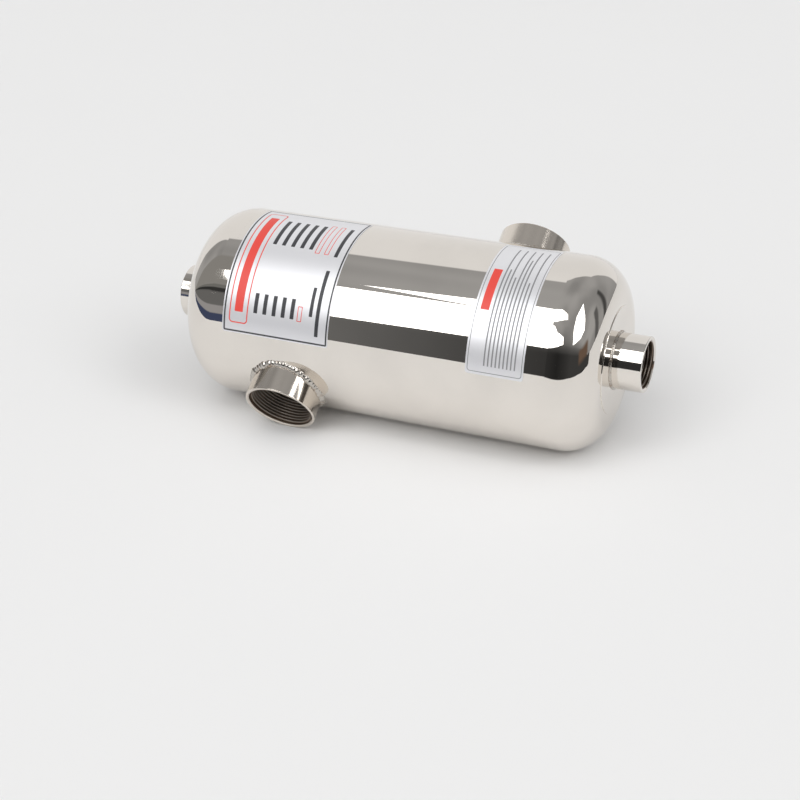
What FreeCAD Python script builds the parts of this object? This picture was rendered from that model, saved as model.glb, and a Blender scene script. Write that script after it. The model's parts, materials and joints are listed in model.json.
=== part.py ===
import FreeCAD, Part
import math
import os

import Sketcher
from FreeCAD import Placement, Rotation, Vector

# Polished stainless shell and tube heat exchanger, lying on its side. A round shell with two pressed
# heads holds a bundle of straight tubes between two tube plates. One water circuit enters and leaves
# through the threaded sockets in the heads and runs inside the tubes. The other runs round the tubes,
# through the two larger sockets in the side of the shell, which stand on opposite sides.
#
# Frame: +X along the shell's axis, +Z up, -Y towards the front socket. The origin is on the floor,
# under the middle of the shell. The vessel lies on the shell, with the front socket's rim 0.3 mm clear
# of the floor, so that it settles forward on the rim and doesn't roll back from it.

# Driving dimensions in millimetres and degrees: name, number, what it is.
DIMENSIONS = [
    ("shell_radius", 69.85, "outside radius of the shell, a 139.7 mm tube"),
    ("wall", 1.5, "sheet thickness of shell and heads"),
    ("seam_reach", 121.0, "middle of the shell to the seam of each head"),
    ("rolled_seam_turn", 1.45, "degrees from the lowest line to where the rolled sheet closes"),
    ("head_reach", 158.0, "middle of the shell to the end of each head's knuckle"),
    ("knuckle_radius", 30.5, "outside radius of a head's knuckle"),
    ("boss_radius", 38.8, "radius of the flat boss in the middle of a head"),
    ("boss_height", 0.6, "how far the boss stands out of the head"),
    ("boss_edge", 0.4, "rounding of the boss's rim"),
    ("end_socket_radius", 20.0, "outside radius of an end socket"),
    ("end_bore_radius", 16.62, "bore of an end socket, at the root of its thread"),
    ("end_socket_root", 155.0, "middle of the shell to an end socket's inner end"),
    ("end_socket_length", 25.2, "length of an end socket"),
    ("side_socket_radius", 26.5, "outside radius of a side socket"),
    ("side_bore_radius", 23.9, "bore of a side socket, at the root of its thread"),
    ("side_socket_root", 60.0, "shell's axis to a side socket's inner end"),
    ("side_socket_length", 25.8, "length of a side socket"),
    ("side_socket_offset", 72.0, "middle of the shell to a side socket's axis"),
    ("side_socket_drop", 33.83, "degrees that the front socket points below level"),
    ("rim_rounding", 0.5, "rounding of a socket's outer rim"),
    ("mouth_chamfer", 1.1, "chamfer of a socket's mouth, for starting the thread"),
    ("end_bead", 0.9, "radius of the weld bead round an end socket"),
    ("side_bead", 3.8, "leg of the weld bead round a side socket"),
    ("plate_reach", 112.0, "middle of the shell to the inner face of a tube plate"),
    ("plate_thickness", 4.0, "thickness of a tube plate"),
    ("plate_gap", 0.05, "gap between a tube plate and the shell, all round"),
    ("tube_radius", 5.0, "outside radius of a tube"),
    ("tube_wall", 0.6, "wall of a tube"),
    ("tube_pitch", 13.0, "distance between neighbouring tubes"),
    ("tube_stick_out", 1.0, "how far a tube stands out of a tube plate"),
    ("tube_clearance", 0.15, "gap round a tube in a plate or baffle"),
    ("baffle_thickness", 1.5, "thickness of a baffle"),
    ("baffle_gap", 0.5, "gap between a baffle and the shell"),
    ("baffle_spacing", 36.0, "distance between baffles"),
    ("label_thickness", 0.2, "thickness of a metallised film label"),
    ("label_top", 101.0, "degrees from the level front line up to a label's top edge"),
    ("label_span", 96.0, "degrees of the shell that a label covers"),
    ("label_corner", 2.0, "rounding of a label's corners"),
    ("rating_label_start", -116.5, "left edge of the rating label"),
    ("rating_label_width", 83.7, "width of the rating label"),
    ("notice_label_start", 70.8, "left edge of the notice label"),
    ("notice_label_width", 41.8, "width of the notice label"),
]
ROW_REACH = 4  # rows of tubes above and below the middle row
LONGEST_ROW = 2 * ROW_REACH + 1  # tubes in the middle row; each row further out has one fewer
ALL_ROWS = range(-ROW_REACH, ROW_REACH + 1)
BAFFLE_OPEN_ROWS = 2  # rows that a baffle leaves open on its cut side

doc = FreeCAD.newDocument("HeatExchanger")
sheet = doc.addObject("Spreadsheet::Sheet", "Dimensions")
for line, (alias, number, note) in enumerate(DIMENSIONS, start=1):
    sheet.set(f"A{line}", note)
    sheet.set(f"B{line}", str(number))
    sheet.setAlias(f"B{line}", alias)
doc.recompute()
size = {alias: number for alias, number, note in DIMENSIONS}

# Turns that carry a sub-part's own +Z axis to the way that it faces.
TO_RIGHT = Rotation(Vector(0, 1, 0), 90)
TO_LEFT = Rotation(Vector(0, 1, 0), -90)
TO_FRONT = Rotation(Vector(1, 0, 0), 90 + size["side_socket_drop"])
TO_REAR = Rotation(Vector(1, 0, 0), size["side_socket_drop"] - 90)
ROLLED_SEAM = Rotation(Vector(0, 0, 1), size["rolled_seam_turn"])
# The rows of tubes lie level: a sketch's X runs to the front, its Y upwards and its Z to the left.
LEVEL_ROWS = Rotation(Vector(0, -1, 0), Vector(0, 0, 1), Vector(-1, 0, 0), "XYZ")
subparts = []


def bound(text):
    """An expression over the sheet: every word in braces becomes that cell."""
    return text.replace("{", "Dimensions.").replace("}", "")


def on_axis(x, turn):
    """A placement on the shell's axis, at x, turned as asked."""
    return Placement(Vector(x, 0, size["shell_radius"]), turn)


def keep(feature, label, placement):
    """Names a finished sub-part, puts it in its place and lists it for export."""
    feature.Label = label
    feature.Placement = placement
    subparts.append(feature)
    return feature


def origin_plane(body, role):
    return next(f for f in body.Origin.OriginFeatures if f.Role == role)


def new_sketch(body, name, role="XY_Plane", height=None):
    sketch = body.newObject("Sketcher::SketchObject", name)
    sketch.AttachmentSupport = [(origin_plane(body, role), "")]
    sketch.MapMode = "FlatFace"
    if height:
        sketch.setExpression("AttachmentOffset.Base.z", bound(height))
    return sketch


def add_circles(sketch, circles):
    """circles: (x, y, radius, x expression, y expression, radius expression); None is the origin's."""
    for x, y, radius, *_ in circles:
        sketch.addGeometry(Part.Circle(Vector(x, y, 0), Vector(0, 0, 1), radius), False)
    first = sketch.GeometryCount - len(circles)
    for index, (x, y, radius, x_text, y_text, radius_text) in enumerate(circles, start=first):
        if x_text is None and y_text is None:
            sketch.addConstraint(Sketcher.Constraint("Coincident", index, 3, -1, 1))
        else:
            for kind, place, text in (("DistanceX", x, x_text), ("DistanceY", y, y_text)):
                number = sketch.addConstraint(Sketcher.Constraint(kind, -1, 1, index, 3, place))
                sketch.setExpression(f"Constraints[{number}]", bound(text))
        number = sketch.addConstraint(Sketcher.Constraint("Radius", index, radius))
        sketch.setExpression(f"Constraints[{number}]", bound(radius_text))


def round_sketch(body, name, cells, role="XY_Plane", height=None):
    """A sketch of circles round the origin, one for each cell."""
    sketch = new_sketch(body, name, role, height)
    add_circles(sketch, [(0, 0, size[cell], None, None, "{" + cell + "}") for cell in cells])
    return sketch


def add_pad(body, sketch, length, both_ways=False):
    pad = body.newObject("PartDesign::Pad", "Pad")
    pad.Profile = (sketch, [""])
    pad.setExpression("Length", bound(length))
    pad.Midplane = both_ways
    doc.recompute()
    return pad


def circle_edges(feature, radius, height):
    """Names of the feature's circular edges of that radius at that height."""
    found = []
    for number, edge in enumerate(feature.Shape.Edges, start=1):
        curve = edge.Curve
        if not isinstance(curve, Part.Circle):
            continue
        if abs(curve.Radius - radius) < 0.01 and abs(curve.Center.z - height) < 0.01:
            found.append(f"Edge{number}")
    return found


def dress(body, kind, base, edges, text, value="Radius"):
    """A fillet or chamfer on the named edges, of the size that the expression gives."""
    feature = body.newObject(f"PartDesign::{kind}", kind)
    feature.Base = (base, edges)
    feature.setExpression(value, bound(text))
    doc.recompute()
    return feature


def cylinder(name, radius, length, start=0, turn=None):
    """A Part cylinder along its own +Z from start, then turned about the origin."""
    tool = doc.addObject("Part::Cylinder", name)
    tool.setExpression("Radius", bound(radius))
    tool.setExpression("Height", bound(length))
    turn = turn or Rotation()
    tool.Placement = Placement(turn.multVec(Vector(0, 0, start)), turn)
    return tool


def cut(name, base, tools):
    feature = doc.addObject("Part::Cut", name)
    feature.Base = base
    if len(tools) == 1:
        feature.Tool = tools[0]
    else:
        feature.Tool = doc.addObject("Part::MultiFuse", f"{name}_tools")
        feature.Tool.Shapes = tools
    doc.recompute()
    return feature


def make_shell():
    """A tube, open at both ends, with a round opening for each side socket."""
    reach, turn = size["seam_reach"], TO_RIGHT.multiply(ROLLED_SEAM)
    outer = cylinder("shell_outside", "{shell_radius}", "2 * {seam_reach}", -reach, turn)
    inner = cylinder("shell_inside", "{shell_radius} - {wall}", "2 * {seam_reach}", -reach, turn)
    front = cylinder("front_opening", "{side_socket_radius}", "2 * {shell_radius}", 0, TO_FRONT)
    rear = cylinder("rear_opening", "{side_socket_radius}", "2 * {shell_radius}", 0, TO_REAR)
    front.setExpression("Placement.Base.x", bound("-{side_socket_offset}"))
    rear.setExpression("Placement.Base.x", bound("{side_socket_offset}"))
    keep(cut("shell", outer, [inner, front, rear]), "shell", on_axis(0, Rotation()))


def make_head(label, turn):
    """A pressed head: a cup with a wide knuckle, and a flat boss with a hole for the end socket."""
    body = doc.addObject("PartDesign::Body", label)
    blank = round_sketch(body, "Blank", ["shell_radius"], height="{seam_reach}")
    pad = add_pad(body, blank, "{head_reach} - {seam_reach}")
    rim = circle_edges(pad, size["shell_radius"], size["head_reach"])
    knuckle = dress(body, "Fillet", pad, rim, "{knuckle_radius}")
    open_face = next(
        f"Face{number}"
        for number, face in enumerate(knuckle.Shape.Faces, start=1)
        if isinstance(face.Surface, Part.Plane) and abs(face.CenterOfMass.z - size["seam_reach"]) < 0.01
    )
    hollow = body.newObject("PartDesign::Thickness", "Hollow")
    hollow.Base = (knuckle, [open_face])
    hollow.Reversed = True
    hollow.setExpression("Value", bound("{wall}"))
    doc.recompute()
    boss_sketch = round_sketch(body, "Boss", ["boss_radius"], height="{head_reach}")
    boss = add_pad(body, boss_sketch, "{boss_height}")
    top = size["head_reach"] + size["boss_height"]
    dress(body, "Fillet", boss, circle_edges(boss, size["boss_radius"], top), "{boss_edge}")
    hole_sketch = round_sketch(
        body, "SocketHole", ["end_socket_radius"], height="{head_reach} + {boss_height}"
    )
    hole = body.newObject("PartDesign::Pocket", "Hole")
    hole.Profile = (hole_sketch, [""])
    hole.setExpression("Length", bound("2 * ({wall} + {boss_height})"))
    keep(body, label, on_axis(0, turn.multiply(ROLLED_SEAM)))


def make_socket(label, kind, placement):
    """A plain round pipe socket: rounded outer rim, chamfered mouth, bore at the thread's root."""
    body = doc.addObject("PartDesign::Body", label)
    radius, bore = f"{kind}_socket_radius", f"{kind}_bore_radius"
    root, length = f"{kind}_socket_root", f"{kind}_socket_length"
    ring = round_sketch(body, "Ring", [radius, bore], height="{" + root + "}")
    pad = add_pad(body, ring, "{" + length + "}")
    mouth = size[root] + size[length]
    rim = dress(body, "Fillet", pad, circle_edges(pad, size[radius], mouth), "{rim_rounding}")
    dress(body, "Chamfer", rim, circle_edges(rim, size[bore], mouth), "{mouth_chamfer}", "Size")
    keep(body, label, placement)


def make_end_weld(label, turn):
    """The bead round an end socket: half a ring that lies on the boss and against the socket."""
    face = size["head_reach"] + size["boss_height"]
    ring = doc.addObject("Part::Torus", f"{label}_ring")
    ring.setExpression("Radius1", bound("{end_socket_radius} + 0.3 * {end_bead}"))
    ring.setExpression("Radius2", bound("{end_bead}"))
    ring.setExpression("Placement.Base.z", bound("{head_reach} + {boss_height} + 0.2 * {end_bead}"))
    socket = cylinder(f"{label}_socket", "{end_socket_radius}", "8 * {end_bead}", face - 4 * size["end_bead"])
    head = cylinder(f"{label}_head", "{boss_radius}", "4 * {end_bead}", face - 4 * size["end_bead"])
    keep(cut(label, ring, [socket, head]), label, on_axis(0, turn))


def make_side_weld(label, placement):
    """The bead round a side socket, along the saddle line where socket and shell meet."""
    body = doc.addObject("PartDesign::Body", f"{label}_blank")
    across = round_sketch(body, "Shell", ["shell_radius"], role="YZ_Plane")
    add_pad(body, across, "4 * {side_socket_radius}", both_ways=True)
    upright = round_sketch(body, "Socket", ["side_socket_radius"])
    crossed = add_pad(body, upright, "{side_socket_root} + {side_socket_length}")
    saddle = [
        f"Edge{number}"
        for number, edge in enumerate(crossed.Shape.Edges, start=1)
        if isinstance(edge.Curve, Part.BSplineCurve)
    ]
    dress(body, "Chamfer", crossed, saddle, "{side_bead}", "Size")
    length = size["side_socket_radius"] * 4
    shell = cylinder(
        f"{label}_shell", "{shell_radius}", "4 * {side_socket_radius}", -length / 2, TO_RIGHT
    )
    socket = cylinder(f"{label}_socket", "{side_socket_radius}", "2 * {shell_radius}")
    keep(cut(label, body, [shell, socket]), label, placement)


def tube_places(row):
    """How far along their row its tubes stand, in pitches from its middle."""
    count = LONGEST_ROW - abs(row)
    return [position - (count - 1) / 2 for position in range(count)]


def tube_circles(rows, radius, radius_text):
    """A circle at each tube of the given rows, on a triangular pitch, as add_circles takes them."""
    rise = math.sqrt(3) / 2
    circles = []
    for row in rows:
        for place in tube_places(row):
            circles.append((
                place * size["tube_pitch"],
                row * rise * size["tube_pitch"],
                radius,
                f"{place} * {{tube_pitch}}",
                f"{row} * sqrt(3) / 2 * {{tube_pitch}}",
                radius_text,
            ))
    return circles


def tube_holes(rows):
    radius = size["tube_radius"] + size["tube_clearance"]
    return tube_circles(rows, radius, "{tube_radius} + {tube_clearance}")


def make_tube_row(label, row):
    """One row of tubes, as solids that don't touch, through both tube plates."""
    body = doc.addObject("PartDesign::Body", label)
    body.AllowCompound = True
    sketch = new_sketch(body, "Tubes")
    outer = tube_circles([row], size["tube_radius"], "{tube_radius}")
    inner = tube_circles([row], size["tube_radius"] - size["tube_wall"], "{tube_radius} - {tube_wall}")
    add_circles(sketch, outer + inner)
    add_pad(body, sketch, "2 * ({plate_reach} + {plate_thickness} + {tube_stick_out})", both_ways=True)
    keep(body, label, on_axis(0, LEVEL_ROWS))


def make_tube_plate(label, side):
    """A round plate across the shell that all the tubes pass through."""
    body = doc.addObject("PartDesign::Body", label)
    sketch = new_sketch(body, "Plate")
    edge = size["shell_radius"] - size["wall"] - size["plate_gap"]
    add_circles(sketch, [(0, 0, edge, None, None, "{shell_radius} - {wall} - {plate_gap}")])
    add_circles(sketch, tube_holes(ALL_ROWS))
    add_pad(body, sketch, "{plate_thickness}")
    near = size["plate_reach"] if side < 0 else -size["plate_reach"] - size["plate_thickness"]
    keep(body, label, on_axis(0, LEVEL_ROWS).multiply(Placement(Vector(0, 0, near), Rotation())))


def make_baffle(label, station, open_top):
    """A disc with a straight cut on one side, so that the water winds round it."""
    body = doc.addObject("PartDesign::Body", label)
    sketch = new_sketch(body, "Baffle")
    side = 1 if open_top else -1
    last_row = ROW_REACH - BAFFLE_OPEN_ROWS
    radius = size["shell_radius"] - size["wall"] - size["baffle_gap"]
    height = (last_row + 0.5) * math.sqrt(3) / 2 * size["tube_pitch"]
    half_chord = math.sqrt(radius**2 - height**2)
    rise = math.asin(height / radius)
    circle = Part.Circle(Vector(0, 0, 0), Vector(0, 0, 1), radius)
    ends = (math.pi - rise, 2 * math.pi + rise) if open_top else (-rise, math.pi + rise)
    left, right = Vector(-half_chord, side * height, 0), Vector(half_chord, side * height, 0)
    chord = (right, left) if open_top else (left, right)
    sketch.addGeometry(Part.ArcOfCircle(circle, *ends), False)
    sketch.addGeometry(Part.LineSegment(*chord), False)
    sketch.addConstraint(Sketcher.Constraint("Coincident", 0, 3, -1, 1))
    sketch.addConstraint(Sketcher.Constraint("Coincident", 0, 2, 1, 1))
    sketch.addConstraint(Sketcher.Constraint("Coincident", 1, 2, 0, 1))
    sketch.addConstraint(Sketcher.Constraint("Horizontal", 1))
    number = sketch.addConstraint(Sketcher.Constraint("Radius", 0, radius))
    sketch.setExpression(f"Constraints[{number}]", bound("{shell_radius} - {wall} - {baffle_gap}"))
    number = sketch.addConstraint(Sketcher.Constraint("DistanceY", -1, 1, 1, 1, side * height))
    sketch.setExpression(
        f"Constraints[{number}]", bound(f"{side * (last_row + 0.5)} * sqrt(3) / 2 * {{tube_pitch}}")
    )
    rows = [row for row in ALL_ROWS if side * row <= last_row]
    add_circles(sketch, tube_holes(rows))
    add_pad(body, sketch, "{baffle_thickness}", both_ways=True)
    near = Placement(Vector(0, 0, -station * size["baffle_spacing"]), Rotation())
    keep(body, label, on_axis(0, LEVEL_ROWS).multiply(near))


def make_label(label, start, width):
    """A film label wrapped over the front and top of the shell, with rounded corners."""
    body = doc.addObject("PartDesign::Body", label)
    sketch = new_sketch(body, "Section")
    left, inner = size[start], size["shell_radius"]
    right, outer = left + size[width], inner + size["label_thickness"]
    ends = [(left, inner), (right, inner), (right, outer), (left, outer)]
    for number, end in enumerate(ends):
        following = ends[(number + 1) % 4]
        sketch.addGeometry(Part.LineSegment(Vector(*end, 0), Vector(*following, 0)), False)
    for number in range(4):
        sketch.addConstraint(Sketcher.Constraint("Coincident", number, 2, (number + 1) % 4, 1))
    for number, kind in enumerate(("Horizontal", "Vertical", "Horizontal", "Vertical")):
        sketch.addConstraint(Sketcher.Constraint(kind, number))
    for kind, line, point, value, text in (
        ("DistanceX", 0, 1, left, "{" + start + "}"),
        ("DistanceX", 1, 1, right, "{" + start + "} + {" + width + "}"),
        ("DistanceY", 0, 1, inner, "{shell_radius}"),
        ("DistanceY", 2, 1, outer, "{shell_radius} + {label_thickness}"),
    ):
        number = sketch.addConstraint(Sketcher.Constraint(kind, -1, 1, line, point, value))
        sketch.setExpression(f"Constraints[{number}]", bound(text))
    wrap = body.newObject("PartDesign::Revolution", "Wrap")
    wrap.Profile = (sketch, [""])
    wrap.ReferenceAxis = (sketch, ["H_Axis"])
    wrap.setExpression("Angle", bound("{label_span}"))
    doc.recompute()
    corners = [
        f"Edge{number}"
        for number, edge in enumerate(wrap.Shape.Edges, start=1)
        if abs(edge.Length - size["label_thickness"]) < 1e-4
    ]
    dress(body, "Fillet", wrap, corners, "{label_corner}")
    keep(body, label, on_axis(0, Rotation(Vector(1, 0, 0), 180 - size["label_top"])))


make_shell()
make_head("left_head", TO_LEFT)
make_head("right_head", TO_RIGHT)
make_socket("left_end_socket", "end", on_axis(0, TO_LEFT))
make_socket("right_end_socket", "end", on_axis(0, TO_RIGHT))
make_end_weld("left_end_weld", TO_LEFT)
make_end_weld("right_end_weld", TO_RIGHT)
at_front = on_axis(-size["side_socket_offset"], TO_FRONT)
at_rear = on_axis(size["side_socket_offset"], TO_REAR)
make_socket("front_side_socket", "side", at_front)
make_socket("rear_side_socket", "side", at_rear)
make_side_weld("front_side_weld", at_front)
make_side_weld("rear_side_weld", at_rear)
make_tube_plate("left_tube_plate", -1)
make_tube_plate("right_tube_plate", 1)
make_baffle("left_baffle", -1, open_top=True)
make_baffle("middle_baffle", 0, open_top=False)
make_baffle("right_baffle", 1, open_top=True)
for row in ALL_ROWS:
    make_tube_row(f"tube_row_{row + ROW_REACH + 1}", row)
make_label("rating_label", "rating_label_start", "rating_label_width")
make_label("notice_label", "notice_label_start", "notice_label_width")
doc.recompute()

failed = [item.Label for item in doc.Objects if {"Invalid", "Error"} & set(item.State)]
if failed:
    raise RuntimeError(f"these objects failed: {failed}")
for part in subparts:
    if part.Shape.isNull() or not part.Shape.isValid() or part.Shape.Volume <= 0:
        raise RuntimeError(f"{part.Label} has no valid shape")

os.makedirs("parts", exist_ok=True)
for part in subparts:
    part.Shape.exportStep(f"parts/{part.Label}.step")
    box = part.Shape.BoundBox
    print(
        f"{part.Label}: {len(part.Shape.Solids)} solid(s), {part.Shape.Volume / 1000:.2f} cm3,"
        f" x {box.XMin:.2f}..{box.XMax:.2f} y {box.YMin:.2f}..{box.YMax:.2f} z {box.ZMin:.2f}..{box.ZMax:.2f}"
    )
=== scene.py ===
import json
import math
import random

import bpy
from mathutils import Matrix, Vector


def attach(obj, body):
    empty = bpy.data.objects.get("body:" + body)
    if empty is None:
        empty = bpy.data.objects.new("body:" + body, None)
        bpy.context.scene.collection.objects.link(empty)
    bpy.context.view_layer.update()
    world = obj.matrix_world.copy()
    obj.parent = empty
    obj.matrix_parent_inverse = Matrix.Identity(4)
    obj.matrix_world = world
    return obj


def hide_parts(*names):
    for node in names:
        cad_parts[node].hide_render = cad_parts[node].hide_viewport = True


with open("model.json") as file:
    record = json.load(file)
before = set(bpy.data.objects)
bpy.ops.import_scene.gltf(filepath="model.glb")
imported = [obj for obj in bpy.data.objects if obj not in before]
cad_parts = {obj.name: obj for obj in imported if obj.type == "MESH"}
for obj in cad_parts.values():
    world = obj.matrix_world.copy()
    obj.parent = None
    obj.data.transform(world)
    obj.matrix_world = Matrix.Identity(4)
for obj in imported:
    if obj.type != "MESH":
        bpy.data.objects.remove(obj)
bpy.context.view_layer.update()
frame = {"nodes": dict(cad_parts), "record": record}
nodes = frame["nodes"]
mounts = {mount["name"]: mount for mount in frame["record"]["mounts"]}
axisHeight = mounts["right_end_thread"]["pos_m"][2]  # the shell's axis above the floor
shellRadius = axisHeight                             # because the shell lies on the floor
shellCenter = Vector((0, 0, axisHeight))
millimetre = 0.001
print("frame loaded:", len(nodes), "nodes")


# tools that the pieces share

def deselectAll():
    if bpy.context.object and bpy.context.object.mode != "OBJECT":
        bpy.ops.object.mode_set(mode="OBJECT")
    bpy.ops.object.select_all(action="DESELECT")


def selectOnly(piece):
    deselectAll()
    piece.select_set(True)
    bpy.context.view_layer.objects.active = piece


def applyTransform(piece):
    selectOnly(piece)
    bpy.ops.object.transform_apply(location=True, rotation=True, scale=True)


def addModifier(piece, kind, **settings):
    # adds a modifier, sets it up and applies it straight away
    selectOnly(piece)
    modifier = piece.modifiers.new(kind.title(), kind)
    for name, value in settings.items():
        setattr(modifier, name, value)
    bpy.ops.object.modifier_apply(modifier=modifier.name)


def startEditing(piece):
    selectOnly(piece)
    bpy.ops.object.mode_set(mode="EDIT")
    bpy.ops.mesh.select_mode(type="VERT")
    bpy.ops.mesh.select_all(action="DESELECT")


def selectVertices(piece, wanted):
    # selects, in edit mode, the vertices whose place the test accepts
    bpy.ops.mesh.select_all(action="DESELECT")
    bpy.ops.object.mode_set(mode="OBJECT")
    for vertex in piece.data.vertices:
        vertex.select = wanted(vertex.co)
    bpy.ops.object.mode_set(mode="EDIT")


def closeAndTurnOut(piece):
    # fills the open ends and points every face outwards
    startEditing(piece)
    bpy.ops.mesh.select_all(action="SELECT")
    bpy.ops.mesh.fill_holes(sides=0)
    bpy.ops.mesh.select_all(action="SELECT")
    bpy.ops.mesh.normals_make_consistent(inside=False)
    bpy.ops.object.mode_set(mode="OBJECT")


def copyOf(piece, name):
    # a copy with a mesh of its own
    selectOnly(piece)
    bpy.ops.object.duplicate(linked=False)
    other = bpy.context.object
    other.name = name
    return other


def joinPieces(pieces, name):
    deselectAll()
    for piece in pieces:
        piece.select_set(True)
    bpy.context.view_layer.objects.active = pieces[0]
    bpy.ops.object.join()
    pieces[0].name = name
    return pieces[0]


def smoothByAngle(piece, degrees):
    selectOnly(piece)
    bpy.ops.object.shade_smooth_by_angle(angle=math.radians(degrees))


def standAt(place, axis):
    # the matrix that carries a piece's own +Z to the axis, with its origin at the place
    return Matrix.Translation(place) @ Vector(axis).to_track_quat("Z", "Y").to_matrix().to_4x4()


def placeBy(piece, matrix):
    piece.matrix_world = matrix
    applyTransform(piece)


# tools for the shaders

def addNode(tree, kind, inputs=None, **settings):
    node = tree.nodes.new(kind)
    for name, value in settings.items():
        setattr(node, name, value)
    setInputs(tree, node, inputs or {})
    return node


def setInputs(tree, node, inputs):
    for name, value in inputs.items():
        if isinstance(value, bpy.types.NodeSocket):
            tree.links.new(value, node.inputs[name])
        else:
            node.inputs[name].default_value = value


def calculate(tree, operation, first, second=0.0, third=0.0, clamp=False):
    # the third value is what MULTIPLY_ADD adds
    values = {0: first, 1: second, 2: third}
    return addNode(tree, "ShaderNodeMath", values, operation=operation, use_clamp=clamp).outputs[0]


def calculateVector(tree, operation, first, second=(0, 0, 0)):
    return addNode(tree, "ShaderNodeVectorMath", {0: first, 1: second}, operation=operation).outputs


def fade(tree, value, low, high, toLow=0.0, toHigh=1.0):
    # carries low to high on to toLow to toHigh, with soft ends
    inputs = {"Value": value, "From Min": low, "From Max": high, "To Min": toLow, "To Max": toHigh}
    return addNode(tree, "ShaderNodeMapRange", inputs, interpolation_type="SMOOTHSTEP").outputs[0]


def darker(color, share):
    return tuple(share * part for part in color[:3]) + (1,)


def makeNoise(tree, point, scale, detail, twist=0.0):
    # soft random values from 0 to 1; the scale is in waves a metre
    inputs = {"Vector": point, "Scale": scale, "Detail": detail, "Distortion": twist}
    return addNode(tree, "ShaderNodeTexNoise", inputs).outputs[0]


def makeBump(tree, height, distance, **inputs):
    inputs.update(Strength=1.0, Distance=distance, Height=height)
    return addNode(tree, "ShaderNodeBump", inputs).outputs[0]


def mixColors(tree, share, first, second):
    node = addNode(tree, "ShaderNodeMix", data_type="RGBA")
    setInputs(tree, node, {"Factor": share, 6: first, 7: second})  # 6 and 7 are the node's color inputs
    return node.outputs[2]


def newGroup(name, inputs, outputs):
    # an input's default says its kind: a number, a vector of three or a color of four
    group = bpy.data.node_groups.new(name, "ShaderNodeTree")
    kinds = {3: "Vector", 4: "Color"}
    for label, value in inputs:
        kind = kinds[len(value)] if isinstance(value, tuple) else "Float"
        socket = group.interface.new_socket(name=label, in_out="INPUT", socket_type="NodeSocket" + kind)
        socket.default_value = value
    for label, kind in outputs:
        group.interface.new_socket(name=label, in_out="OUTPUT", socket_type="NodeSocket" + kind)
    return group, addNode(group, "NodeGroupInput").outputs, addNode(group, "NodeGroupOutput")


def placeGroup(tree, group, inputs):
    node = addNode(tree, "ShaderNodeGroup", node_tree=group)
    setInputs(tree, node, inputs)
    return node.outputs


def newMaterial(name, **settings):
    # the settings are constants on the shader's own sockets, with a space for each underscore
    material = bpy.data.materials.new(name)
    material.use_nodes = True
    tree = material.node_tree
    tree.nodes.clear()
    shader = addNode(tree, "ShaderNodeBsdfPrincipled")
    for label, value in settings.items():
        shader.inputs[label.replace("_", " ")].default_value = value
    addNode(tree, "ShaderNodeOutputMaterial", {"Surface": shader.outputs["BSDF"]})
    return material, tree, shader


def objectPoint(tree):
    return addNode(tree, "ShaderNodeTexCoord").outputs["Object"]


def giveMaterial(piece, material):
    piece.data.materials.clear()
    piece.data.materials.append(material)


# camera

viewpoint = {
    "azimuth": 23.22,    # degrees round from the front, to the right
    "elevation": 24.12,  # degrees above level
    "distance": 1.2351,  # metres from the middle of the shell
    "lens": 75.9,        # millimetres
    "pan": -0.33,        # degrees that the camera then turns, tilts and rolls to frame the vessel
    "tilt": 2.52,
    "roll": 0.64,
}


def makeCamera():
    azimuth, elevation = math.radians(viewpoint["azimuth"]), math.radians(viewpoint["elevation"])
    back = Vector((
        math.sin(azimuth) * math.cos(elevation),
        -math.cos(azimuth) * math.cos(elevation),
        math.sin(elevation),
    ))
    right = Vector((math.cos(azimuth), math.sin(azimuth), 0))
    level = Matrix((right, back.cross(right), back))
    framing = Matrix.Rotation(math.radians(viewpoint["roll"]), 3, "Z")
    framing = framing @ Matrix.Rotation(math.radians(viewpoint["tilt"]), 3, "X")
    framing = framing @ Matrix.Rotation(math.radians(viewpoint["pan"]), 3, "Y")
    aim = (framing @ level).transposed()
    place = shellCenter + back * viewpoint["distance"]
    bpy.ops.object.camera_add(location=place, rotation=aim.to_euler())
    camera = bpy.context.object
    camera.data.lens = viewpoint["lens"]
    bpy.context.scene.camera = camera


makeCamera()
print("camera placed")


# shader groups: each gives colors, masks, values or a normal

def makeTurnedGroup():
    # how far a point lies along an axis, plus a share of how far it lies out from it
    group, given, result = newGroup(
        "turned",
        [("Point", (0.0, 0.0, 0.0)), ("Middle", (0.0, 0.0, 0.0)), ("Axis", (1.0, 0.0, 0.0)),
         ("Outwards", 0.0)],
        [("Along", "Float"), ("Out", "Float")],
    )
    offset = calculateVector(group, "SUBTRACT", given["Point"], given["Middle"])["Vector"]
    along = calculateVector(group, "DOT_PRODUCT", offset, given["Axis"])["Value"]
    reach = calculateVector(group, "LENGTH", offset)["Value"]
    square = calculate(group, "MULTIPLY", reach, reach)
    minusAlong = calculate(group, "MULTIPLY", along, -1)
    out = calculate(group, "SQRT", calculate(group, "MULTIPLY_ADD", along, minusAlong, square))
    turned = calculate(group, "MULTIPLY_ADD", out, given["Outwards"], along)
    setInputs(group, result, {"Along": turned, "Out": out})
    return group


polishMarks = {
    "waveDetail": 1.0,
    "lineDetail": 2.0,
    "patchScale": 38.0,         # waves a metre, of the patches where the lines show
    "patchDetail": 4.0,
    "patchEdges": (0.35, 0.65),
    "patchShares": (0.3, 1.0),  # of the lines' depth, outside and inside a patch
    "smearScale": 14.0,
    "smearDetail": 6.0,
    "smearTwist": 1.2,
    "smearEdges": (0.5, 0.78),
    "tintDetail": 5.0,
}


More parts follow.
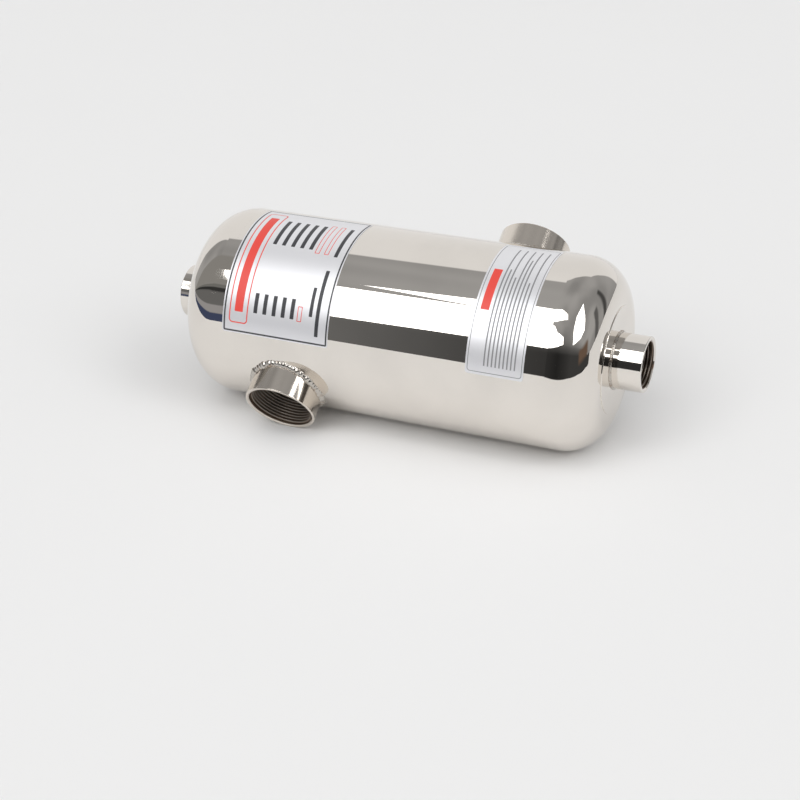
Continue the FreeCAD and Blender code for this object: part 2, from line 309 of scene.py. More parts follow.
def makePolishGroup():
    # slow waves left by rolling, fine lines left by the polishing mop, and faint smears in the gloss
    group, given, result = newGroup(
        "polish",
        [("Point", (0.0, 0.0, 0.0)), ("Along", 0.0), ("Wave Size", 0.04), ("Wave Depth", 0.00005),
         ("Line Size", 0.0003), ("Line Depth", 0.000001), ("Gloss", 0.03), ("Smear", 0.03)],
        [("Roughness", "Float"), ("Normal", "Vector")],
    )
    point, marks = given["Point"], polishMarks
    waveScale = calculate(group, "DIVIDE", 1.0, given["Wave Size"])
    waves = makeNoise(group, point, waveScale, marks["waveDetail"])
    lines = addNode(group, "ShaderNodeTexNoise", {
        "W": calculate(group, "DIVIDE", given["Along"], given["Line Size"]),
        "Scale": 1.0, "Detail": marks["lineDetail"],
    }, noise_dimensions="1D").outputs[0]
    patches = makeNoise(group, point, marks["patchScale"], marks["patchDetail"])
    shown = fade(group, patches, *marks["patchEdges"], *marks["patchShares"])
    lineDepth = calculate(group, "MULTIPLY", given["Line Depth"], shown)
    wavy = makeBump(group, waves, given["Wave Depth"])
    lined = makeBump(group, lines, lineDepth, Normal=wavy)
    smears = makeNoise(group, point, marks["smearScale"], marks["smearDetail"], marks["smearTwist"])
    smear = calculate(group, "MULTIPLY", fade(group, smears, *marks["smearEdges"]), given["Smear"])
    roughness = calculate(group, "ADD", given["Gloss"], smear)
    setInputs(group, result, {"Roughness": roughness, "Normal": lined})
    return group


def makeTintGroup():
    # a mottled color between two, for bare, heated and handled metal
    group, given, result = newGroup(
        "tint",
        [("Point", (0.0, 0.0, 0.0)), ("Color", (0.8, 0.8, 0.8, 1.0)),
         ("Other Color", (0.8, 0.8, 0.8, 1.0)), ("Patch Size", 0.02), ("Low", 0.4), ("High", 0.7)],
        [("Color", "Color")],
    )
    scale = calculate(group, "DIVIDE", 1.0, given["Patch Size"])
    patches = makeNoise(group, given["Point"], scale, polishMarks["tintDetail"])
    mask = fade(group, patches, given["Low"], given["High"])
    setInputs(group, result, {"Color": mixColors(group, mask, given["Color"], given["Other Color"])})
    return group


def makeWrapGroup():
    # a point on the shell as millimetres along it and millimetres of arc up from its front level line
    outputs = [("Along", "Float"), ("Up", "Float")]
    group, given, result = newGroup("wrap", [("Point", (0.0, 0.0, 0.0))], outputs)
    parts = addNode(group, "ShaderNodeSeparateXYZ", {0: given["Point"]}).outputs
    rise = calculate(group, "SUBTRACT", parts["Z"], axisHeight)
    angle = calculate(group, "ARCTAN2", rise, calculate(group, "MULTIPLY", parts["Y"], -1.0))
    setInputs(group, result, {
        "Along": calculate(group, "DIVIDE", parts["X"], millimetre),
        "Up": calculate(group, "MULTIPLY", angle, shellRadius / millimetre),
    })
    return group


def makeMarkGroup():
    # a printed rounded box: its filled face, and its outline
    group, given, result = newGroup(
        "mark",
        [("Along", 0.0), ("Up", 0.0), ("Left", 0.0), ("Right", 1.0), ("Low", 0.0), ("High", 1.0),
         ("Corner", 0.2), ("Line", 0.4), ("Blur", 0.12)],
        [("Fill", "Float"), ("Outline", "Float")],
    )
    reaches = []
    for value, start, end in (("Along", "Left", "Right"), ("Up", "Low", "High")):
        middle = calculate(group, "MULTIPLY", calculate(group, "ADD", given[start], given[end]), 0.5)
        half = calculate(group, "MULTIPLY", calculate(group, "SUBTRACT", given[end], given[start]), 0.5)
        off = calculate(group, "ABSOLUTE", calculate(group, "SUBTRACT", given[value], middle))
        past = calculate(group, "SUBTRACT", off, half)
        reaches.append(calculate(group, "ADD", past, given["Corner"]))
    corner = addNode(group, "ShaderNodeCombineXYZ", {
        index: calculate(group, "MAXIMUM", reach, 0.0) for index, reach in enumerate(reaches)
    }).outputs[0]
    outside = calculateVector(group, "LENGTH", corner)["Value"]
    inside = calculate(group, "MINIMUM", calculate(group, "MAXIMUM", reaches[0], reaches[1]), 0.0)
    distance = calculate(group, "SUBTRACT", calculate(group, "ADD", outside, inside), given["Corner"])
    fromLine = calculate(group, "SUBTRACT", calculate(group, "ABSOLUTE", distance), given["Line"])
    for label, edge in (("Fill", distance), ("Outline", fromLine)):
        blurred = calculate(group, "DIVIDE", edge, given["Blur"])
        setInputs(group, result, {label: calculate(group, "SUBTRACT", 0.5, blurred, clamp=True)})
    return group


turnedGroup, polishGroup, tintGroup = makeTurnedGroup(), makePolishGroup(), makeTintGroup()
wrapGroup, markGroup = makeWrapGroup(), makeMarkGroup()


# materials

# a pipe thread: the sockets' bores are at its root
thread = {
    "pitch": 2.309 * millimetre,
    "depth": 1.479 * millimetre,
    "flank": 27.5,                    # degrees
    "crestWidth": 0.65 * millimetre,  # before it is rounded
    "crestRounding": 0.3 * millimetre,
    "embed": 1.0 * millimetre,        # that the ridge reaches into the wall
    "mouthChamfer": 1.1 * millimetre,
    "proud": 0.4 * millimetre,        # that the ridge stands out of the mouth's chamfer
    "set": 0.35 * millimetre,         # that it starts in from the mouth
    "leadIn": 0.5 * millimetre,       # that the countersink goes on past the thread's depth
    "cutterPast": 3 * millimetre,     # that the countersink starts outside the mouth
    "runOut": 1.5 * millimetre,       # left plain at the inner end
    "steps": 72,                      # in a turn
    "smoothAngle": 40,                # degrees
}

steel = {
    "color": (0.8, 0.76, 0.71, 1),
    "warmColor": (0.76, 0.7, 0.63, 1),  # where the polish is a touch browner
    "plateColor": (0.62, 0.6, 0.57, 1),
    "tubeColor": (0.66, 0.64, 0.6, 1),
    "mottle": 0.95,                     # share of its color left where it is darkest
    "mottleSize": 0.05,                 # metres
    "grooveShadeColor": (0.24, 0.185, 0.145, 1),  # painted shade in the cut threads' grooves, far darker than the cut steel itself
    # painted shade on the thread's crests inside the bore
    "crestShadeColor": (0.2, 0.172, 0.15, 1),
    "grooveReach": 0.6,                 # share of a thread's depth, from its root, in the groove's painted shade
    "cutEdges": (0.2 * millimetre, 0.5 * millimetre),  # past the bore, where the cut metal and its painted shade end
    "cutDullness": 0.3,                 # added to its roughness
}


def makePolished(name, middle, axis, outwards=0.0, color=steel["color"], bore=0.0, **polish):
    # bright metal with lines turned about an axis, rougher where a tool has cut inside the bore, and
    # painted darker there as shade in the thread
    material, tree, shader = newMaterial(name, Metallic=1.0)
    point = objectPoint(tree)
    turned = placeGroup(tree, turnedGroup, {
        "Point": point, "Middle": middle, "Axis": axis, "Outwards": outwards,
    })
    made = placeGroup(tree, polishGroup, {"Point": point, "Along": turned["Along"], **polish})
    shade = placeGroup(tree, tintGroup, {
        "Point": point, "Color": color, "Other Color": darker(color, steel["mottle"]),
        "Patch Size": steel["mottleSize"],
    })["Color"]
    roughness = made["Roughness"]
    if bore:
        start, end = (bore + edge for edge in steel["cutEdges"])
        cut = fade(tree, turned["Out"], start, end, 1.0, 0.0)
        grooves = bore - steel["grooveReach"] * thread["depth"]
        deep = fade(tree, turned["Out"], bore - thread["depth"], grooves)
        deep = calculate(tree, "MULTIPLY", cut, deep)
        # painted shade: the grooves and crests inside the bore are darkened to stand in for the shade
        # there
        shade = mixColors(tree, deep, shade, steel["grooveShadeColor"])
        shade = mixColors(tree, calculate(tree, "SUBTRACT", cut, deep), shade, steel["crestShadeColor"])
        roughness = calculate(tree, "MULTIPLY_ADD", cut, steel["cutDullness"], roughness)
    setInputs(tree, shader, {"Base Color": shade, "Roughness": roughness, "Normal": made["Normal"]})
    return material


# how each metal is polished, with sizes and depths in metres
sheetPolish = {
    "Wave Size": 0.045, "Wave Depth": 0.00003, "Line Size": 0.0006, "Line Depth": 0.0000006,
    "Gloss": 0.02, "Smear": 0.03,
}
headPolish = {
    "Wave Size": 0.03, "Wave Depth": 0.00003, "Line Size": 0.0006, "Line Depth": 0.0000005,
    "Gloss": 0.02, "Smear": 0.03,
}
socketPolish = {
    "Wave Size": 0.02, "Wave Depth": 0.00002, "Line Size": 0.0003, "Line Depth": 0.000002,
    "Gloss": 0.05, "Smear": 0.06,
}
satinPolish = {
    "Wave Size": 0.02, "Wave Depth": 0.00002, "Line Size": 0.00022, "Line Depth": 0.000011,
    "Gloss": 0.17, "Smear": 0.1,
}
frontPolish = {**satinPolish, "Gloss": 0.13, "Line Depth": 0.000008}
platePolish = {
    "Wave Size": 0.03, "Wave Depth": 0.00002, "Line Size": 0.0005, "Line Depth": 0.00001,
    "Gloss": 0.3, "Smear": 0.1,
}
tubePolish = {
    "Wave Size": 0.03, "Wave Depth": 0.00001, "Line Size": 0.0006, "Line Depth": 0.000006,
    "Gloss": 0.25, "Smear": 0.1,
}

middle = tuple(shellCenter)
sheetSteel = makePolished("sheetSteel", middle, (1, 0, 0), **sheetPolish)
leftHeadSteel = makePolished("leftHeadSteel", middle, (1, 0, 0), 1.0, **headPolish)
rightHeadSteel = makePolished("rightHeadSteel", middle, (-1, 0, 0), 1.0, **headPolish)
endBore = mounts["right_end_thread"]["dims"]["r_mm"] * millimetre
endSocketSteel = makePolished("endSocketSteel", middle, (1, 0, 0), bore=endBore, **socketPolish)


def makeSideSocketSteel(name, mount, polish):
    foot = (mount["pos_m"][0], 0, axisHeight)
    bore = mount["dims"]["r_mm"] * millimetre
    return makePolished(name, foot, tuple(mount["axis"]), color=steel["warmColor"], bore=bore, **polish)


frontSocketSteel = makeSideSocketSteel("frontSocketSteel", mounts["front_side_thread"], frontPolish)
rearSocketSteel = makeSideSocketSteel("rearSocketSteel", mounts["rear_side_thread"], satinPolish)
plateSteel = makePolished("plateSteel", middle, (0, 1, 0), color=steel["plateColor"], **platePolish)
tubeSteel = makePolished("tubeSteel", middle, (1, 0, 0), color=steel["tubeColor"], **tubePolish)

weldLook = {
    "color": (0.56, 0.53, 0.49, 1),
    "heatColor": (0.3, 0.22, 0.16, 1),
    "heatSize": 0.004,          # metres, of a heat-stained patch
    "heatEdges": (0.5, 0.75),
    "grainSize": 0.0007,
    "grainDetail": 3.0,
    "grainDepth": 0.00012,
    "glossEdges": (0.3, 0.7),
    "roughness": (0.1, 0.3),
}


def makeWeldSteel():
    material, tree, shader = newMaterial("weldSteel", Metallic=1.0)
    point = objectPoint(tree)
    low, high = weldLook["heatEdges"]
    tint = placeGroup(tree, tintGroup, {
        "Point": point, "Color": weldLook["color"], "Other Color": weldLook["heatColor"],
        "Patch Size": weldLook["heatSize"], "Low": low, "High": high,
    })
    grain = makeNoise(tree, point, 1 / weldLook["grainSize"], weldLook["grainDetail"])
    setInputs(tree, shader, {
        "Base Color": tint["Color"],
        "Roughness": fade(tree, grain, *weldLook["glossEdges"], *weldLook["roughness"]),
        "Normal": makeBump(tree, grain, weldLook["grainDepth"]),
    })
    return material


weldSteel = makeWeldSteel()

film = {
    "color": (0.8, 0.8, 0.825, 1),
    "blackInk": (0.035, 0.035, 0.04, 1),
    "redInk": (0.7, 0.06, 0.045, 1),
    "greyInk": (0.2, 0.2, 0.21, 1),
    "metal": 0.6,               # how metallic the bare film is; its ink isn't
    "roughness": 0.33,
    "roughnessSpread": 0.1,
    "grainScale": 900.0,        # waves a metre
    "grainDetail": 2.0,
    "rippleScale": 60.0,
    "rippleDetail": 1.0,
    "rippleShare": 6.0,         # of a ripple's height to a grain's
    "grainHeight": 0.000006,
}

# printed marks: kind, ink, left and right in millimetres along the shell, low and high in degrees up
# round it, then the corner's radius and half the line's width in millimetres
ratingMarks = [
    ("Outline", "blackInk", -114.9, -34.2, 6.3, 99.6, 0.6, 0.6),
    ("Outline", "redInk", -110.9, -97, 11.5, 94, 2.5, 0.45),
    ("Fill", "redInk", -107.2, -100.6, 18, 88, 0.5, 0),
    ("Outline", "redInk", -57.5, -54.5, 18, 26.5, 0.3, 0.28),
    ("Outline", "redInk", -57.5, -54.3, 61, 88, 0.3, 0.28),
    ("Outline", "redInk", -50.2, -47.2, 61, 88, 0.3, 0.28),
    ("Fill", "blackInk", -48.8, -46.2, 21.7, 39, 0.3, 0),
    ("Fill", "blackInk", -43.4, -40.6, 10.6, 50.3, 0.3, 0),
    ("Fill", "blackInk", -42.4, -39.6, 60, 87, 0.3, 0),
]
noticeMarks = [
    ("Outline", "greyInk", 72.4, 111.2, 6.6, 98.8, 2, 0.25),
    ("Fill", "redInk", 75.2, 81.4, 41.8, 69.5, 0.3, 0),
]
bars = {
    "places": (-90.7, -83.5, -76.2, -69, -61.9),
    "half": 1.5,  # of a bar's width
    "spans": ((18.6, 30.5), (63, 86.5)),
    "corner": 0.3,
}
rules = {
    "start": 84.2,
    "pitch": 2.75,
    "count": 9,
    "half": 0.5,  # of a line's width
    "foot": 10.5,
    "top": 93,
    "shortest": 60,
    "corner": 0.2,
    "seed": 7,
}


def addBars():
    for along in bars["places"]:
        for low, high in bars["spans"]:
            left, right = along - bars["half"], along + bars["half"]
            ratingMarks.append(("Fill", "blackInk", left, right, low, high, bars["corner"], 0))


def addRules():
    # every other line is of uneven length
    dice = random.Random(rules["seed"])
    for line in range(rules["count"]):
        along = rules["start"] + rules["pitch"] * line
        end = dice.uniform(rules["shortest"], rules["top"]) if line % 2 else rules["top"]
        left, right = along - rules["half"], along + rules["half"]
        noticeMarks.append(("Fill", "greyInk", left, right, rules["foot"], end, rules["corner"], 0))


addBars()
addRules()


def makeFilm(name, marks):
    # satin silver film with its print
    material, tree, shader = newMaterial(name)
    point = objectPoint(tree)
    wrapped = placeGroup(tree, wrapGroup, {"Point": point})
    arc = math.radians(1) * shellRadius / millimetre  # millimetres of arc in a degree
    masks = {}
    for kind, ink, left, right, low, high, corner, line in marks:
        mark = placeGroup(tree, markGroup, {
            "Along": wrapped["Along"], "Up": wrapped["Up"], "Left": left, "Right": right,
            "Low": low * arc, "High": high * arc, "Corner": corner, "Line": line,
        })[kind]
        masks[ink] = calculate(tree, "MAXIMUM", masks[ink], mark) if ink in masks else mark
    color, printed = film["color"], None
    for ink, mask in masks.items():
        color = mixColors(tree, mask, color, film[ink])
        printed = calculate(tree, "MAXIMUM", printed, mask) if printed else mask
    grain = makeNoise(tree, point, film["grainScale"], film["grainDetail"])
    ripple = makeNoise(tree, point, film["rippleScale"], film["rippleDetail"])
    height = calculate(tree, "MULTIPLY_ADD", ripple, film["rippleShare"], grain)
    setInputs(tree, shader, {
        "Base Color": color,
        "Metallic": fade(tree, printed, 0.0, 1.0, film["metal"], 0.0),
        "Roughness": calculate(tree, "MULTIPLY_ADD", grain, film["roughnessSpread"], film["roughness"]),
        "Normal": makeBump(tree, height, film["grainHeight"]),
    })
    return material


ratingFilm = makeFilm("ratingFilm", ratingMarks)
noticeFilm = makeFilm("noticeFilm", noticeMarks)

looks = {
    "shell": sheetSteel, "left_head": leftHeadSteel, "right_head": rightHeadSteel,
    "left_end_socket": endSocketSteel, "right_end_socket": endSocketSteel,
    "front_side_socket": frontSocketSteel, "rear_side_socket": rearSocketSteel,
    "rating_label": ratingFilm, "notice_label": noticeFilm,
}
for name, node in nodes.items():
    if name not in looks:
        looks[name] = weldSteel if "weld" in name else tubeSteel if "tube_row" in name else plateSteel
    giveMaterial(node, looks[name])
print("materials made")


# threads in the four sockets

def makeThread(name, bore, length):
    # a ridge wound round +Z inside a bore, from its mouth at the origin down to its inner end
    tall = thread["depth"] + thread["embed"]
    rootShare = thread["embed"] / tall - 0.5  # of the height, where the flanks meet the straight foot
    rootWidth = thread["crestWidth"] + 2 * thread["depth"] * math.tan(math.radians(thread["flank"]))
    turns = math.floor((length - thread["runOut"]) / thread["pitch"]) + 1
    bpy.ops.mesh.primitive_plane_add(size=1, location=(0, 0, 0))
    ridge = bpy.context.object
    ridge.name = name
    startEditing(ridge)
    bpy.ops.mesh.select_all(action="SELECT")
    bpy.ops.mesh.bisect(plane_co=(-rootShare, 0, 0), plane_no=(1, 0, 0))
    bpy.ops.mesh.select_all(action="SELECT")
    bpy.ops.transform.resize(value=(tall, rootWidth, 1), center_override=(0, 0, 0))
    nearCrest = -0.49 * tall  # which only the crest's two corners are past
    selectVertices(ridge, lambda place: place.x < nearCrest)
    bpy.ops.transform.resize(value=(1, thread["crestWidth"] / rootWidth, 1))
    bpy.ops.mesh.bevel(offset=thread["crestRounding"], segments=2, affect="VERTICES")
    bpy.ops.mesh.select_all(action="SELECT")
    bpy.ops.mesh.delete(type="ONLY_FACE")
    bpy.ops.mesh.select_all(action="SELECT")
    bpy.ops.transform.rotate(value=math.pi / 2, orient_axis="X", center_override=(0, 0, 0))
    out, down = bore + thread["embed"] - tall / 2, thread["pitch"] * (1 - turns)
    bpy.ops.transform.translate(value=(out, 0, down))
    addModifier(
        ridge, "SCREW", axis="Z", angle=2 * math.pi, iterations=turns, screw_offset=thread["pitch"],
        steps=thread["steps"], render_steps=thread["steps"],
        use_merge_vertices=False, use_smooth_shade=False,
    )
    startEditing(ridge)
    bpy.ops.mesh.select_all(action="SELECT")
    bpy.ops.mesh.bisect(plane_co=(0, 0, -thread["set"]), plane_no=(0, 0, 1), clear_outer=True)
    closeAndTurnOut(ridge)
    cutLeadIn(ridge, bore)
    smoothByAngle(ridge, thread["smoothAngle"])
    return ridge


def cutLeadIn(ridge, bore):
    # a countersink that clears the mouth's chamfer and fades the first turn in
    past = thread["cutterPast"]
    deep = thread["mouthChamfer"] + thread["depth"] + thread["leadIn"]
    wide = bore + thread["mouthChamfer"] - thread["proud"]  # at the mouth
    bpy.ops.mesh.primitive_cone_add(
        vertices=2 * thread["steps"], radius1=wide - deep, radius2=wide + past,
        depth=deep + past, location=(0, 0, (past - deep) / 2),
    )
    cutter = bpy.context.object
    addModifier(ridge, "BOOLEAN", operation="DIFFERENCE", solver="EXACT", object=cutter)
    bpy.data.objects.remove(cutter)


def fitThreads():
    # one ridge for each size of bore, then a copy in each socket
    threadLooks = {
        "right_end_thread": endSocketSteel, "left_end_thread": endSocketSteel,
        "front_side_thread": frontSocketSteel, "rear_side_thread": rearSocketSteel,
    }
    made = {}
    for mountName, look in threadLooks.items():
        mount = mounts[mountName]
        side, kind, word = mountName.split("_")
        name = side + kind.title() + word.title()
        bore = mount["dims"]["r_mm"] * millimetre
        length = mount["dims"]["length_mm"] * millimetre
        if bore not in made:
            made[bore] = makeThread("spare", bore, length)
        ridge = copyOf(made[bore], name)
        axis = Vector(mount["axis"])
        mouth = Vector(mount["pos_m"]) + axis * (length / 2 + thread["mouthChamfer"])
        placeBy(ridge, standAt(mouth, axis))
        giveMaterial(ridge, look)
        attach(ridge, "root")
    for spare in made.values():
        bpy.data.objects.remove(spare)


fitThreads()
print("threads cut")


# rippled beads round the side sockets

bead = {
    "radius": 27.2 * millimetre,  # of the ring that the blobs follow
    "saddle": 1.03,               # how much longer the saddle line is than the ring
    "spacing": 2.9 * millimetre,  # between one ripple and the next
    "wander": 0.12,               # share of the spacing that a blob may be off by
    "length": 2.4 * millimetre,   # of half a blob along the seam, so that the blobs overlap
    "reach": 3.1 * millimetre,    # of a blob up the socket and out over the shell
    "height": 2.0 * millimetre,   # of a blob out of the corner
    "unevenness": 0.2,            # share that the blobs' sizes vary by
    "segments": 16,               # round a blob
    "rings": 10,
    "voxel": 0.3 * millimetre,
    "smoothing": 0.5,
    "smoothings": 2,
    "smoothAngle": 60,            # degrees
    "seed": 21,
}


def saddlePoint(axis, middle, up, turn):
    # where a ring round the socket's axis meets the shell, and the way out of the corner there
    sideways, upwards = bead["radius"] * math.cos(turn), bead["radius"] * math.sin(turn)
    rise = math.sqrt(shellRadius ** 2 - upwards ** 2)
    spoke = Vector((math.cos(turn), 0, 0)) + up * math.sin(turn)
    foot = up * upwards + axis * rise
    place = middle + Vector((sideways, 0, 0)) + foot
    return place, (foot.normalized() + spoke).normalized()


def makeBead(name, node, mountName):
    dice = random.Random(bead["seed"] + len(name))
    mount = mounts[mountName]
    axis = Vector(mount["axis"])
    up = axis.cross(Vector((1, 0, 0)))
    middle = Vector((mount["pos_m"][0], 0, axisHeight))
    bpy.ops.mesh.primitive_uv_sphere_add(
        segments=bead["segments"], ring_count=bead["rings"], radius=1, location=(0, 0, 0),
    )
    blob = bpy.context.object
    count = round(2 * math.pi * bead["radius"] * bead["saddle"] / bead["spacing"])
    littleTurn = 0.01  # radians, to find the seam's direction
    blobs = []
    for step in range(count):
        turn = 2 * math.pi * (step + dice.uniform(-bead["wander"], bead["wander"])) / count
        place, corner = saddlePoint(axis, middle, up, turn)
        ahead, _ = saddlePoint(axis, middle, up, turn + littleTurn)
        tangent = (ahead - place).normalized()
        across = corner.cross(tangent)
        size = 1 + dice.uniform(-1, 1) * bead["unevenness"]
        sizes = (bead["length"] * size, bead["reach"] * size, bead["height"] * size)
        turned = Matrix((tangent, across, corner)).transposed().to_4x4()
        ripple = copyOf(blob, name)
        placeBy(ripple, Matrix.Translation(place) @ turned @ Matrix.Diagonal((*sizes, 1)))
        blobs.append(ripple)
    bpy.data.objects.remove(blob)
    ring = joinPieces(blobs, name)
    addModifier(ring, "REMESH", mode="VOXEL", voxel_size=bead["voxel"])
    addModifier(ring, "SMOOTH", factor=bead["smoothing"], iterations=bead["smoothings"])
    smoothByAngle(ring, bead["smoothAngle"])
    giveMaterial(ring, weldSteel)
    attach(ring, "root")
    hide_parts(node)


makeBead("frontSideBead", "front_side_weld", "front_side_thread")
makeBead("rearSideBead", "rear_side_weld", "rear_side_thread")
print("beads laid")


# studio

studio = {
    "floorColor": (0.84, 0.838, 0.836, 1),
    "floorMottle": 0.985,  # share of its color left where it is darkest
    "floorGrainScale": 3.0,
    "floorGrainDetail": 3.0,
    "floorRoughness": 0.7,
    "floorSpecular": 0.2,
    "floorBelow": 0.2 * millimetre,
    "floorOutline": [(-20, -0.75), (-0.65, -0.7), (-0.2, -0.82), (0.5, -0.5), (0.78, 0),
                     (20, 2), (20, 20), (-20, 20)],
    "backdropColor": (0.84, 0.84, 0.84, 1),
    "fill": 0.6,                 # even light that reaches the paper from all round
    "lowFill": 0.4,              # how much of it comes from the level
    "fillLean": (0.5, -0.8, 0),  # more from the front and the right, so that shadows stay close
    "lampDistance": 40,          # metres
    "lampStrength": 3.8,
    # corners as sideways shares of a lamp's distance, and degrees up from the front and over
    "mainLamp": [(-0.455, 22), (-0.46, 43), (-0.518, 45), (-0.521, 49), (-0.523, 57.5), (-0.33, 60.5),
                 (-0.29, 56), (0.02, 45), (0.13, 43), (0.31, 41), (0.37, 34), (0.15, 29.5),
                 (-0.31, 26)],
    "upperLamp": [(-0.42, 65), (-0.35, 69), (-0.3, 72), (-0.03, 72), (0.23, 68), (0.3, 63),
                  (-0.29, 56.2), (-0.33, 60.7)],
    "endLamp": [(-0.535, 27), (-0.535, 61), (-0.57, 61), (-0.57, 27)],
    "sideLamp": [(0.71, 95), (1.27, 87), (1.87, 75), (1.69, 51), (0.99, 37), (0.77, 56), (0.69, 73)],
}

# a room with a dark front, a grey ceiling and a pale cloth behind, all seen only in the metal
room = {
    # greys of the front, from the left across
    "frontGreys": [(0.1, 0.3), (0.25, 0.2), (0.29, 0.14), (0.325, 0.08), (0.36, 0.035), (0.6, 0.02),
                   (1.0, 0.05)],
    "ceilingGreys": (0.28, 0.4),
    "ceilingScale": 2.2,        # of its mottle
    "ceilingDetail": 0.5,
    "ceilingEdges": (0.3, 0.7),
    "ceilingRise": (18, 57.6),  # degrees up from the front, where it takes over
    "clothColor": (0.86, 0.855, 0.85, 1),
    # directions in from its left, top and right edges
    "clothEdges": [(0.259, 0.966, 0), (-0.555, 0.71, -0.4325), (-0.92, 0.39, 0)],
    "clothBlur": 0.015,
    # things in it: left, right, low and high in degrees, softness and color
    "shapes": [
        (67, 90, 1, 13, 3, (0.15, 0.1, 0.072, 1)),
        (127, 133, -10, 34, 2, (0.07, 0.07, 0.07, 1)),
        (108, 116, -10, 26, 2, (0.12, 0.12, 0.12, 1)),
    ],
    # bands across its left: low and high in degrees up from the front, softness and color
    "bands": [
        (-30, 3, 1, (0.055, 0.07, 0.13, 1)),
        (3, 13, 1, (0.33, 0.325, 0.33, 1)),
        (13, 29, 1, (0.15, 0.15, 0.15, 1)),
        (29, 35, 1.5, (0.035, 0.035, 0.035, 1)),
        (35, 39, 1.5, (0.17, 0.17, 0.165, 1)),
        (39, 76, 2, (0.27, 0.265, 0.255, 1)),
    ],
    "bandsEnd": (-0.51, -0.49),  # sideways shares where the bands fade out
}


def makeSheet(name, corners):
    # a flat or folded sheet with these corners
    bpy.ops.mesh.primitive_circle_add(vertices=len(corners), fill_type="NGON", location=(0, 0, 0))
    sheet = bpy.context.object
    sheet.name = name
    for vertex, corner in zip(sheet.data.vertices, corners):
        vertex.co = corner
    return sheet


def makeFloor():
    below = -studio["floorBelow"]
    floor = makeSheet("floor", [(x, y, below) for x, y in studio["floorOutline"]])
    material, tree, shader = newMaterial(
        "floorPaper", Specular_IOR_Level=studio["floorSpecular"], Roughness=studio["floorRoughness"])
    color = studio["floorColor"]
    grain = makeNoise(tree, objectPoint(tree), studio["floorGrainScale"], studio["floorGrainDetail"])
    setInputs(tree, shader, {
        "Base Color": mixColors(tree, grain, color, darker(color, studio["floorMottle"])),
    })
    giveMaterial(floor, material)


def makeLamp(name):
    corners = []
    for share, up in studio[name]:
        towards = Vector((share, -math.cos(math.radians(up)), math.sin(math.radians(up))))
        corners.append(towards * studio["lampDistance"] + shellCenter)
    lamp = makeSheet(name, corners)
    material = bpy.data.materials.new(name)
    material.use_nodes = True
    tree = material.node_tree
    tree.nodes.clear()
    light = addNode(tree, "ShaderNodeEmission", {"Strength": studio["lampStrength"]})
    addNode(tree, "ShaderNodeOutputMaterial", {"Surface": light.outputs[0]})
    giveMaterial(lamp, material)
    lamp.visible_camera = False


def makeWorld():
    world = bpy.data.worlds.new("studio")
    bpy.context.scene.world = world
    world.cycles.sampling_method = "NONE"
    world.use_nodes = True
    tree = world.node_tree
    tree.nodes.clear()
    direction = addNode(tree, "ShaderNodeTexCoord").outputs["Generated"]
    parts = addNode(tree, "ShaderNodeSeparateXYZ", {0: direction}).outputs
    around = addNode(tree, "ShaderNodeBackground", {"Color": paintRoom(tree, direction, parts)})
    fill = addNode(tree, "ShaderNodeBackground", {
        "Color": (1, 1, 1, 1), "Strength": fillStrength(tree, direction, parts["Z"]),
    })
    backdrop = addNode(tree, "ShaderNodeBackground", {"Color": studio["backdropColor"]})
    ray = addNode(tree, "ShaderNodeLightPath").outputs
    lit = addNode(tree, "ShaderNodeMixShader", {
        0: ray["Is Glossy Ray"], 1: fill.outputs[0], 2: around.outputs[0],
    })
    both = addNode(tree, "ShaderNodeMixShader", {
        0: ray["Is Camera Ray"], 1: lit.outputs[0], 2: backdrop.outputs[0],
    })
    addNode(tree, "ShaderNodeOutputWorld", {"Surface": both.outputs[0]})


def fillStrength(tree, direction, height):
    lean = calculateVector(tree, "DOT_PRODUCT", direction, studio["fillLean"])["Value"]
    above = calculate(tree, "MAXIMUM", height, 0.0)
    rising = calculate(tree, "ADD", above, studio["lowFill"])
    share = calculate(tree, "MULTIPLY", rising, calculate(tree, "ADD", lean, 1.0))
    return calculate(tree, "MULTIPLY", share, studio["fill"])


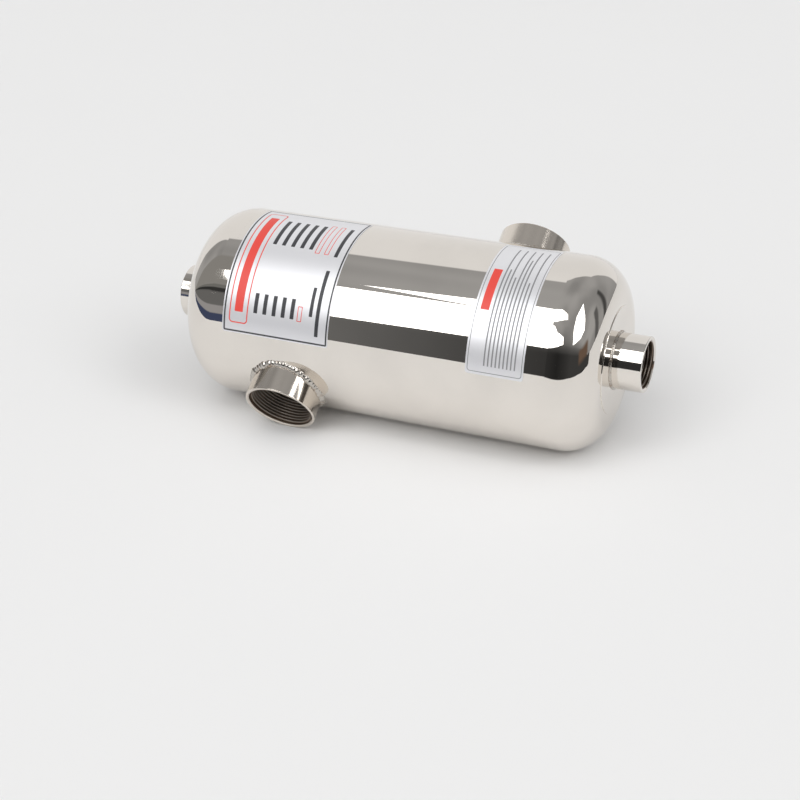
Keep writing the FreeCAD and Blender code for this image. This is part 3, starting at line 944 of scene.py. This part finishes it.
def paintRoom(tree, direction, parts):
    towards = calculate(tree, "MULTIPLY", parts["Y"], -1.0)
    upAngle = calculate(tree, "ARCTAN2", parts["Z"], towards)  # up from the front and over
    upright = addNode(tree, "ShaderNodeCombineXYZ", {0: towards, 1: parts["Z"]}).outputs[0]
    sideways = calculate(tree, "DIVIDE", parts["X"], calculateVector(tree, "LENGTH", upright)["Value"])
    across = calculate(tree, "MULTIPLY_ADD", sideways, 0.5, 0.5)
    front = addNode(tree, "ShaderNodeValToRGB", {"Fac": across})
    setRamp(front, room["frontGreys"])
    mottle = makeNoise(tree, direction, room["ceilingScale"], room["ceilingDetail"])
    ceiling = fade(tree, mottle, *room["ceilingEdges"], *room["ceilingGreys"])
    low, high = (math.radians(angle) for angle in room["ceilingRise"])
    paint = mixColors(tree, fade(tree, upAngle, low, high), front.outputs["Color"], ceiling)
    azimuth = calculate(tree, "ARCTAN2", parts["X"], towards)
    elevation = calculate(tree, "ARCSINE", parts["Z"])
    for left, right, low, high, soft, color in room["shapes"]:
        wide = spanMask(tree, azimuth, left, right, soft)
        shape = calculate(tree, "MULTIPLY", wide, spanMask(tree, elevation, low, high, soft))
        paint = mixColors(tree, shape, paint, color)
    leftwards = fade(tree, sideways, *room["bandsEnd"], 1.0, 0.0)
    for low, high, soft, color in room["bands"]:
        band = calculate(tree, "MULTIPLY", spanMask(tree, upAngle, low, high, soft), leftwards)
        paint = mixColors(tree, band, paint, color)
    cloth = 1.0
    for inwards in room["clothEdges"]:
        inside = calculateVector(tree, "DOT_PRODUCT", direction, inwards)["Value"]
        cloth = calculate(tree, "MINIMUM", cloth, inside)
    covered = fade(tree, cloth, -room["clothBlur"], room["clothBlur"])
    return mixColors(tree, covered, paint, room["clothColor"])


def spanMask(tree, angle, start, end, soft):
    # 1 between two angles in degrees, with soft edges
    rising = fade(tree, angle, math.radians(start - soft), math.radians(start + soft))
    falling = fade(tree, angle, math.radians(end - soft), math.radians(end + soft))
    return calculate(tree, "SUBTRACT", rising, falling)


def setRamp(ramp, stops):
    # greys of a color ramp: place and value
    elements = ramp.color_ramp.elements
    while len(elements) > 1:
        elements.remove(elements[-1])
    elements[0].position = stops[0][0]
    elements[0].color = (stops[0][1],) * 3 + (1,)
    for place, value in stops[1:]:
        elements.new(place).color = (value,) * 3 + (1,)


makeFloor()
makeWorld()
for name in ("mainLamp", "upperLamp", "endLamp", "sideLamp"):
    makeLamp(name)
bpy.context.scene.view_settings.view_transform = "Standard"
print("studio lit")
